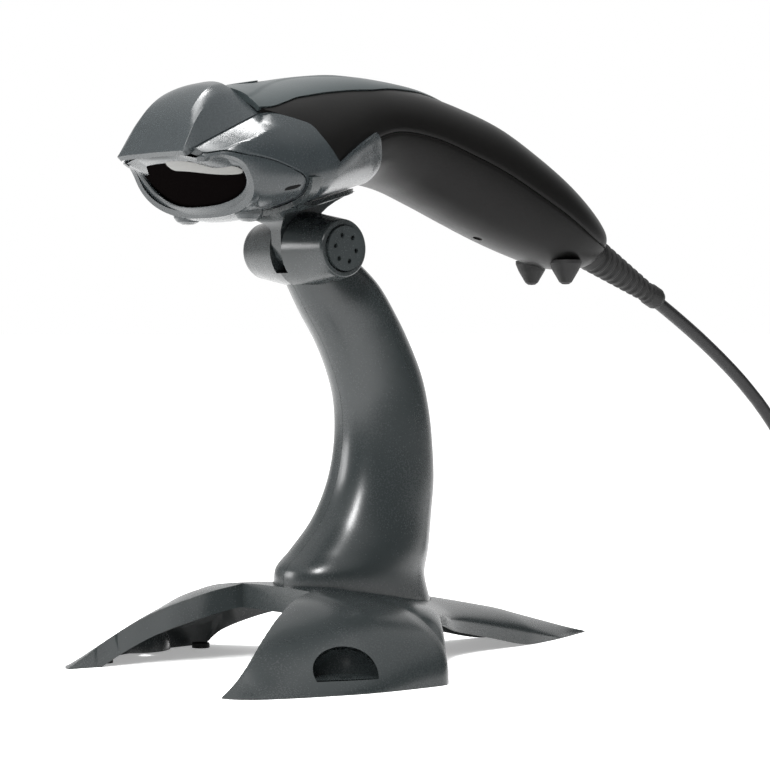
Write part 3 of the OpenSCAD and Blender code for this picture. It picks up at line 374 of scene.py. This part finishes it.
sp = gridshell("spine_cover_visual", 110, 72,
    lambda u, v: (lambda t, w: skin(t, 90 + soft(t, SPINE) * w, spine_out2(t, w)))(lerp(2.4, 9, u), 2 * v - 1),
    lambda u, v: (lambda t, w: skin(t, 90 + soft(t, SPINE) * w, 0.04 - 1.2 * (1 - smooth(2.6, 3.1, t))))(lerp(2.4, 9, u), 2 * v - 1), M_SPINE)
bt = Matrix.Translation((0, -58.5, 182.9)) @ Matrix.Rotation(math.radians(11), 4, "X")
sp = boolean(sp, lathe("cut", [(0.01, -8), (5.3, -8), (5.3, 12), (0.01, 12)], lambda x, y, z: tuple(bt @ Vector((x, y, z))), None))
bevel(sp, 0.3)
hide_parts("spine_cover"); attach(sp, "scanner")
# handle halves, with a groove between them
def handle_front(a):
    b = fold(a); return (2.5 if b > 45 else max(2.5, soft(b, WING_REAR))) + 0.015
def groove(a, t):
    b = abs(fold(a)); return -0.35 * (1 - smooth(0.0, 1.2, b))
tf = Matrix.Translation((0, 96.4, 134.8)) @ Matrix.Rotation(math.radians(-25), 4, "X") @ Matrix.Rotation(math.radians(-90), 4, "X")
def boot_space():
    return lathe("cut", [(0.01, -13), (5.06, -13), (5.06, -4.02), (6.26, -1.02), (6.5, 2), (6.5, 30), (0.01, 30)], lambda x, y, z: tuple(tf @ Vector((x, y, z))), None)
ht = patch("handle_top_visual", handle_front, lambda a: 15, 0.3, 179.7, lambda t, a: groove(a, t), lambda t, a: -wall, 130, 90, M_BLACK)
ht = boolean(ht, lathe("cut", [(0.01, -12), (5.3, -12), (5.3, 12), (0.01, 12)], lambda x, y, z: tuple(bt @ Vector((x, y, z))), None))
ht = boolean(ht, boot_space())
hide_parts("handle_top"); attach(ht, "scanner")
hb = patch("handle_bottom_visual", lambda a: 4.4, lambda a: 15, -179.7, -0.3, lambda t, a: groove(a, t), lambda t, a: -wall, 120, 90, M_BLACK)
hb = boolean(hb, lathe("cut", [(0.01, 130), (1.6, 130), (1.6, 144), (0.01, 144)], lambda x, y, z: (x, y + 42, z), None))
hb = boolean(hb, boot_space())
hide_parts("handle_bottom"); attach(hb, "scanner")
# ---------------------------------------------------------------- cradle
COLLAR = [(-90, 3.15), (-64, 3.15), (-50, 3.15), (-40, 3.2), (-6, 3.12)]
CUP_REAR = [(0, 6.9), (12, 6.3), (24, 5.4), (32, 4.5), (38, 3.6)]
def cup_o(t): return 0.45 + 0.95 * smooth(3.45, 4.1, t)
cup = patch("cradle_cup", lambda a: 3.3, lambda a: soft(abs(a + 90), CUP_REAR), -128, -52, lambda t, a: cup_o(t) + 1.6, lambda t, a: cup_o(t), 40, 60, M_STAND)
bevel(cup, 0.45, 3)
col_ = patch("cradle_collar", lambda a: soft(fold(a), COLLAR), lambda a: soft(fold(a), COLLAR) + 0.34, -174, -6, lambda t, a: cup_o(t) + 1.6, lambda t, a: cup_o(t), 4, 130, M_STAND)
bevel(col_, 0.5, 3)
def keel(t, o):
    p = skin(t, -90, o); return (p[1] - AXIS_Y, p[2] - AXIS_Z)
top = [keel(3.35 + 3.45 * k / 24, cup_o(3.35 + 3.45 * k / 24) + 0.9) for k in range(25)]
side = [(7, -2), (7.5, 4), (6.2, 9), (4.9, 11.8), (7.4, 13.8), (10.5, 15.6), (14.7, 17.6)] + top[::-1] + [(-17, 10.2), (-15, 9.7), (-13.6, 8.7), (-12.5, 7.4), (-11.9, 6), (-11.7, 1.5), (-9.6, -3), (-7, -5), (0, -7), (5, -5)]
hw = 2.4
blade = loft("cradle_neck", [[(x, p[0] + AXIS_Y, p[1] + AXIS_Z) for p in side] for x in (-hw, hw)], M_STAND)
bevel(blade, 0.6, 3, 40)
def flare(u, v, o):
    w = 2 * v - 1
    A = Vector((hw * w, -45.45, 138.6)); B = Vector((w * 4.4, -46.2, 143.0)); C = Vector(skin(3.22, -90 + 34 * w, 0.45 + 1.2))
    p = A.lerp(B, u).lerp(B.lerp(C, u), u)
    n = Vector((0, 0.75, 0.55))
    return tuple(p + n * o * lerp(1, 0.6, u))
fl = gridshell("cradle_flare", 24, 24, lambda u, v: flare(u, v, 0), lambda u, v: flare(u, v, 1.9), M_STAND, 40)
bevel(fl, 0.4, 2)
cradle = join([cup, col_, blade, fl], "cradle_visual")
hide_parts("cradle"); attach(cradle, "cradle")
# ---------------------------------------------------------------- stand column and barrel
CS = [[-13.6, 21.6, 18.4, 29], [-14.4, 29, 18, 27.2], [-10.6, 36, 17.2, 25.2], [-5.7, 46, 15.5, 21.9], [-2.4, 56, 14.4, 19.9],
    [-1, 66, 13.5, 18.2], [-1, 77, 12.8, 16.9], [-2.8, 88, 12.1, 15.9], [-6.8, 98, 11.8, 14.9],
    [-12.5, 108, 11.8, 14], [-19.8, 118, 11.8, 13.2], [-28, 127, 10, 11]]
def col_tilt(t): return lerp(-0.142, 0.05, t / 3) if t < 3 else lerp(0.05, 0.42, (t - 3) / 8)
def col(t, a, o=0.0):
    s = cr(CS, t); y = (s[3] + o) * spow(sind(a), 0.92); x = (s[2] + o) * spow(cosd(a), 0.92)
    return (x, s[0] + y, s[1] + col_tilt(t) * y)
BR = [(0, 12.4), (4, 11.9), (8, 11.2), (12, 10.5), (16, 9.8), (19, 9.2)]
def hinge_x(x, y, z): return (z, AXIS_Y - y, AXIS_Z + x)
for s, nm in ((1, "right"), (-1, "left")):
    shell = gridshell("stand_half_%s_col" % nm, 110, 44, lambda u, v: (lambda p: (s * max(0.06, p[0]), p[1], p[2]))(col(11 * u, lerp(90, -90, v))),
        lambda u, v: (lambda p: (s * max(0.06, p[0]), p[1], p[2]))(col(11 * u, lerp(90, -90, v), -2.4)), M_STAND)
    shell = boolean(shell, lathe("cut", [(0.01, -30), (10.6, -30), (10.6, 30), (0.01, 30)], hinge_x, None))
    bevel(shell, 0.35, 2, 50)
    if s > 0:
        prof = [(0.01, 0.06), (12.4, 0.06)] + [(soft(x, BR), x) for x in (1, 2, 4, 6, 8, 10, 12, 14, 16, 17.5, 18.4, 18.9)] + [(9.0, 19.3), (8.7, 19.5), (7.6, 19.5), (7.35, 19.3), (7.3, 16.9), (0.01, 16.9)]
    else:
        prof = [(0.01, 0.06), (12.4, 0.06)] + [(soft(x, BR), x) for x in (1, 2, 4, 6, 8, 10, 12, 14, 16, 18, 19)] + [(9.1, 20.2), (8.7, 21.0), (8.0, 21.8), (6.8, 22.4), (5, 22.75), (2.5, 22.95), (0.01, 23)]
    br = lathe("stand_half_%s_barrel" % nm, [(r, s * x) for r, x in prof], hinge_x, M_STAND, 96)
    br = boolean(br, box("cut", (-2.9, AXIS_Y - 16, AXIS_Z - 7.6), (2.9, AXIS_Y + 16, AXIS_Z + 16)))
    bevel(br, 0.4, 3, 40)
    half = join([br, shell], "stand_half_%s_visual" % nm)
    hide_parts("stand_half_%s" % nm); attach(half, "stand")
# ---------------------------------------------------------------- base
BI = [[-97.5, 40, 0.4], [-92, 39, 3.8], [-87, 37.5, 7.4], [-82, 35.2, 10.9], [-77, 32.5, 14.2], [-72, 29.8, 17],
    [-67, 26.8, 19.3], [-62, 24, 21.2], [-57, 21.2, 23], [-52, 19.2, 24.4], [-47, 17.2, 25.6]]
FO = [(-97.5, 41.2), (-96.6, 43.4), (-95.3, 45.4), (-92.5, 48.2), (-89, 50.4), (-85.3, 52.2), (-77.4, 55.5), (-69, 58.3), (-60.6, 60.8),
    (-50.9, 62.4), (-40.4, 63.2)]
BC = [[-45.8, 26, 62.9, 0], [-36, 26, 63.4, 0], [-29.2, 25.2, 62.8, 0], [-24.8, 24.5, 57.5, 5.4], [-18, 23.4, 48.6, 10], [-12, 22.6, 41, 12.6],
    [-6, 21.8, 34.4, 13.4], [4, 20.6, 26, 11.6], [14, 19.2, 20.8, 8.6], [26, 17, 17.5, 6], [38, 14.6, 15.4, 3.4], [49.5, 12.2, 13.7, 0.8],
    [58, 9.9, 12.3, 0.1], [74, 5.6, 8, 0], [86, 2.4, 3.6, 0], [94, 0.5, 0.6, 0]]
def base_row(t):
    if t < 10.5:
        b = cr(BI, min(t, 10)); r = [b[0], b[2], soft(b[0], FO), 0.0, b[1]]
    else:
        b = cr(BC, max(0, t - 11)); r = [b[0], b[1], b[2], max(0.0, b[3]), lerp(16.7, 0, smooth(-45.8, 40, b[0]))]
    return r
def foot_n(y): return lerp(1, 2.6, smooth(-86, -26, y))
def rear_n(y): return foot_n(y) if y < -26.5 else lerp(2.6, 9, clamp01((y + 26.5) / 30))
def base_z(r, x):
    y, n = r[0], rear_n(r[0]); q = min(1, abs(x) / r[2]); w = clamp01((abs(x) - r[4]) / (r[2] - r[4]))
    zf = r[1] * max(0, 1 - w ** foot_n(y)) ** lerp(0.8, 0.4, smooth(-86, -26, y))
    zh = r[3] + (r[1] - 5 * clamp01((y + 40) / 50) * q * q - r[3]) * max(0, 1 - q ** n) ** (1 / n)
    return lerp(zf, zh, smooth(-56, -34, y))
def base_x(r, v):
    s = 1 - 2 * v; return r[2] * spow(s / abs(s) if s else 0, 1) * abs(sind(90 * abs(s))) ** 0.8
def base_solid(name, o, inset, low, t0, t1, step, nv, mat):
    n = int(round((t1 - t0) / step)); rows = [base_row(t0 + (t1 - t0) * i / n) for i in range(n + 1)]
    def bx(r, v):
        x = base_x(r, v); return math.copysign(max(0.05 * abs(x), abs(x) - inset), x)
    def top_(u, v):
        r = rows[int(round(u * n))]; x = bx(r, v); return (x, r[0], max(low + 0.3, r[3] * (1 - min(1, inset)) + 0.3, base_z(r, x) - o))
    def bot_(u, v):
        r = rows[int(round(u * n))]; x = bx(r, v); return (x, r[0], low if low < 0 else r[3])
    return gridshell(name, n, nv, top_, bot_, mat)
def notch(g, drop):
    rings = []
    ys = [-99, -96] + [lerp(-94, -48, k / 30) for k in range(31)] + [-45.8 + g]
    for y in ys:
        x = soft(y, [(r[0], r[1]) for r in BI]) + g; z = max(-2, soft(y, [(r[0], r[2]) for r in BI]) - drop) if drop > 0 else -2
        rings.append([(-x, y, z), (-x, y, 60), (x, y, 60), (x, y, z)])
    return loft("cut", rings, None)
base = base_solid("base_visual", 0, 0, 0, 0, 26, 0.2, 72, M_STAND)
base = boolean(base, notch(0, 0))
inner = base_solid("cut", 2.4, 2, -1, 1, 25, 0.5, 40, M_INNER)
inner = boolean(inner, notch(2.2, 7.6))
inner = boolean(inner, box("cut2", (-70, -110, -2), (70, -88, 60)))
base = boolean(base, inner)
def dome(name, r, s, mat, flat=True, cz=4.0):
    prof = [(0.01, r)] + [(r * math.sin(math.pi / 2 * k / 16), r * math.cos(math.pi / 2 * k / 16)) for k in range(1, 17)]
    prof = prof[::-1] if False else prof
    prof += [(0.01, 0)]
    return lathe(name, [(p[0], p[1]) for p in prof], lambda x, y, z: (x + s * 53.8, y - 62.5, z + cz), mat, 64)
caps = []
for s in (1, -1):
    # wall of the pocket under the skin
    cap = dome("pocket_wall", 11.9, s, M_STAND, cz=2.2)
    cap = boolean(cap, base_solid("cut", 0.5, 0.3, -3, 0, 26, 0.5, 40, M_STAND), "INTERSECT")
    cap = boolean(cap, dome("cut", 10.3, s, M_STAND))
    cap = boolean(cap, lathe("cut", [(0.01, -2), (2.1, -2), (2.1, 9), (0.01, 9)], lambda x, y, z: (x + s * 51.5, y - 60, z), M_STAND))
    caps.append(cap)
for s in (1, -1): base = boolean(base, dome("cut", 10.3, s, M_STAND))
# recess that the column stands in
base = boolean(base, loft("cut", [[(p[0], p[1], p[2] + h) for p in (col(0, 5 * j, 0.15) for j in range(72))] for h in (-0.03, 20)], M_STAND))
base = join([base] + caps, "base_visual")
bevel(base, 0.3, 2, 40)
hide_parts("base_shell"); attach(base, "stand")
# ---------------------------------------------------------------- cable
ROUTE = [(0, 131.9, 117.4), (0, 139, 113.5), (0, 148, 108.3), (0, 158, 102.2), (0, 168, 95.6), (0, 178, 88.4),
    (0, 188, 80.2), (0, 197, 71.5), (0, 205, 62), (0, 212, 51.6), (0, 218, 40.4), (-1, 223.5, 29.5),
    (-4, 230, 19), (-8.5, 237.5, 10.6), (-14.5, 246, 5.4), (-21.6, 254.5, 3.2), (-28, 262.5, 2.7), (-32.4, 269.5, 2.6),
    (-34.8, 275, 2.6), (-35.4, 279.5, 2.6)]
CX, CY = -2.5, 300.0
def dense(P, step=2.0):
    out = [Vector(cr(P, i / 20)) for i in range(20 * (len(P) - 1) + 1)]
    res, acc = [out[0]], 0.0
    for a, b in zip(out, out[1:]):
        acc += (b - a).length
        if acc >= step: res.append(b); acc = 0.0
    if (res[-1] - out[-1]).length > 0.3 * step: res.append(out[-1])
    else: res[-1] = out[-1]
    return res
SPLIT = 6
pathA = dense([ROUTE[k] for k in range(SPLIT + 1)])
lead = dense([ROUTE[k] for k in range(SPLIT, len(ROUTE))])
def tube(name, P, r, mat, n=16):
    t0 = (P[1] - P[0]).normalized(); up = Vector((1, 0, 0)); e1 = (up - t0 * up.dot(t0)).normalized(); rings = []
    for i, p in enumerate(P):
        t = (P[min(i + 1, len(P) - 1)] - P[max(i - 1, 0)]).normalized()
        e1 = (e1 - t * e1.dot(t)).normalized(); e2 = t.cross(e1)
        rings.append([tuple(p + (e1 * math.cos(2 * math.pi * j / n) + e2 * math.sin(2 * math.pi * j / n)) * r) for j in range(n)])
    return loft(name, rings, mat, False, 50)
# wound cable: eight places in the section of the coil, each a turn long
SLOTS = [(32.9, 3.2), (26.5, 3.2), (20.1, 3.2), (20.1, 9.6), (26.5, 9.6), (26.5, 15.9), (32.9, 15.9), (32.9, 9.6), (32.9, 9.6)]
wound = []
turn_steps = 90
total = 7.5
for i in range(int(total * turn_steps) + 1):
    q = i / turn_steps; k = int(q); f = q - k
    if k >= 7: k, f = 7, 0.0 if q < 7 else 0.0
    a, b = SLOTS[k], SLOTS[min(k + 1, 8)]
    g = smooth(0.80, 1.0, f) if k < 7 else 0.0
    rr, zz = lerp(a[0], b[0], g), lerp(a[1], b[1], g)
    ang = math.pi - 2 * math.pi * q
    if q > 7.3: zz = lerp(9.6, 6.4, smooth(7.3, 7.5, q))
    wound.append(Vector((CX + rr * math.cos(ang), CY + rr * math.sin(ang), zz)))
tail = [Vector((CX + 32.9, y, lerp(6.4, 4.0, smooth(0, 1, (300 - y) / 25)))) for y in (297, 294, 291, 288, 285, 282, 279, 277, 274.8)]
mid = [Vector((CX - 32.9, y, lerp(2.6, 3.2, (y - 279.5) / 20.5))) for y in (283, 287, 291, 295, 298)]
pathB = lead + mid + wound + tail
A = tube("cable_upper", pathA, 2.4, M_CORD)
B = tube("cable_lower", pathB, 2.4, M_CORD)
shell_plug = box("usb_overmould", (CX + 32.9 - 8, 247, 0), (CX + 32.9 + 8, 274.4, 8), M_RUBBER); bevel(shell_plug, 1.6, 4)
shell_metal = box("usb_metal_shell", (CX + 32.9 - 6, 229.2, 1.75), (CX + 32.9 + 6, 247.5, 6.25), M_STEEL); bevel(shell_metal, 0.35, 2)
tongue = box("usb_tongue", (CX + 32.9 - 5.4, 229.05, 2.2), (CX + 32.9 + 5.4, 229.6, 4.1), M_INNER)
tie_o = box("cable_tie", (CX - 3, CY + 16.5, 0.0), (CX + 3, CY + 36.5, 19.6), M_RUBBER)
tie_o = boolean(tie_o, box("cut", (CX - 4, CY + 17.55, 0.65), (CX + 4, CY + 35.45, 18.65))); bevel(tie_o, 0.3, 2)
for o, s in ((shell_plug, "cord_jacket"), (shell_metal, "steel"), (tongue, "chassis_plastic"), (tie_o, "cord_jacket")):
    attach(o, "stand")
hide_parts("cord"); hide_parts("cord_coil", "cord_tail"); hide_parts("usb_plug"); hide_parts("cord_tie")
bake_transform(A)
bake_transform(B)
# ---------------------------------------------------------------- finishes of the CAD nodes
FIN = {"desk_pads": M_RUBBER, "ballast_plate": M_STEEL, "tension_cap": M_STAND, "pivot_bolt": M_STEEL, "pivot_nut": M_STEEL, "friction_washers": M_WASHER,
    "half_screws": M_STEEL, "root_screws": M_STEEL, "nose_bumpers": M_HEAD, "tail_feet": M_RUBBER, "cable_boot": M_RUBBER, "main_board": M_BOARD,
    "optics_chassis": M_INNER, "laser_module": M_BRASS, "collecting_mirror": M_MIRROR, "photodiode_board": M_BOARD, "mirror_coil": M_COPPER,
    "mirror_pivot": M_STEEL, "beeper": M_RUBBER, "status_led": M_LED, "trigger_switch": M_STEEL, "cable_socket": M_INNER, "cable_plug": M_CLEAR,
    "case_screws": M_STEEL, "trigger_button": M_SPINE, "scan_mirror": M_MIRROR}
for name, mat in FIN.items():
    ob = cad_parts[name]; me = ob.data
    if len(me.materials) == 0: me.materials.append(mat)
    for k in range(len(me.materials)): me.materials[k] = mat
    me.polygons.foreach_set("use_smooth", [True] * len(me.polygons)); me.set_sharp_from_angle(angle=math.radians(30))

# ---------------------------------------------------------------- floor and light
def stage_material(name, value):
    m, nt, b = nodes_of(name); b.inputs["Base Color"].default_value = (value, value, value, 1); b.inputs["Roughness"].default_value = 0.9
    b.inputs["Specular IOR Level"].default_value = 0.1
    b.inputs["Emission Color"].default_value = (1, 1, 1, 1); b.inputs["Emission Strength"].default_value = 0.34
    return m
me = bpy.data.meshes.new("floor"); me.from_pydata([(-30, -30, 0), (30, -30, 0), (30, 30, 0), (-30, 30, 0)], [], [(0, 1, 2, 3)])
floor = bpy.data.objects.new("floor", me); scene.collection.objects.link(floor); me.materials.append(stage_material("floor_white", 0.95))
world = bpy.data.worlds.new("studio"); scene.world = world; world.use_nodes = True
wt = world.node_tree; WN, WL = wt.nodes, wt.links
wc = WN.new("ShaderNodeTexCoord")
def wnode(op, x=None, y=None, z=None):
    n = WN.new("ShaderNodeMath"); n.operation = op
    for k, v in enumerate((x, y, z)):
        if v is None: continue
        if isinstance(v, (int, float)): n.inputs[k].default_value = v
        else: WL.new(v, n.inputs[k])
    return n.outputs[0]
sep = WN.new("ShaderNodeSeparateXYZ"); WL.new(wc.outputs["Generated"], sep.inputs[0])
def ramp(v, lo, hi):
    n = WN.new("ShaderNodeMapRange"); n.interpolation_type = "SMOOTHSTEP"; n.clamp = True
    n.inputs["From Min"].default_value = lo; n.inputs["From Max"].default_value = hi
    WL.new(v, n.inputs["Value"]); return n.outputs["Result"]
toward = wnode("ADD", wnode("MULTIPLY", sep.outputs[0], -0.7547), wnode("MULTIPLY", sep.outputs[1], 0.6561))
back = ramp(toward, 0.55, 0.85)
high = ramp(sep.outputs[2], 0.30, 0.75)
left = ramp(wnode("ADD", wnode("MULTIPLY", sep.outputs[0], -0.6561), wnode("MULTIPLY", sep.outputs[1], -0.7547)), 0.5, 0.95)
glow = wnode("MAXIMUM", wnode("MAXIMUM", back, high), wnode("MULTIPLY", left, 0.7))
WL.new(wnode("MULTIPLY_ADD", glow, 0.93, 0.07), wt.nodes["Background"].inputs["Strength"])
wt.nodes["Background"].inputs["Color"].default_value = (1, 1, 1, 1)
def area(name, loc, target, size, power, size_y=None):
    d = bpy.data.lights.new(name, "AREA"); d.energy = power; d.shape = "RECTANGLE"; d.size = size; d.size_y = size_y or size
    o = bpy.data.objects.new(name, d); scene.collection.objects.link(o); o.location = loc
    o.rotation_euler = (Vector(target) - Vector(loc)).to_track_quat("-Z", "Y").to_euler()
    return o
area("key", (0.45, -0.55, 0.75), (0, 0, 0.08), 0.14, 12.0, 0.40)
area("left_soft", (-0.75, -1.1, 0.42), (0, -0.03, 0.12), 0.5, 10.0)
area("top_soft", (-0.05, -0.25, 0.95), (0, -0.05, 0.16), 0.35, 5.0)
# a small softbox placed where the flank of the wing mirrors it to the camera
P0, P1, P2 = (Vector(faceted(t, a, 0)) for t, a in ((1.7, 27), (2.1, 35), (1.3, 34)))
N0 = (P1 - P0).cross(P2 - P0).normalized()
if N0.z < 0: N0 = -N0
R0 = (2 * N0.dot(-look)) * N0 + look
F0 = Vector((P0.x, P0.y + DY, P0.z)) / 1000
area("flank_soft", tuple(F0 + R0 * 0.75), tuple(F0), 0.15, 3.6)
scene.view_settings.view_transform = "Standard"
scene.view_settings.look = "None"
scene.view_settings.exposure = 0.0
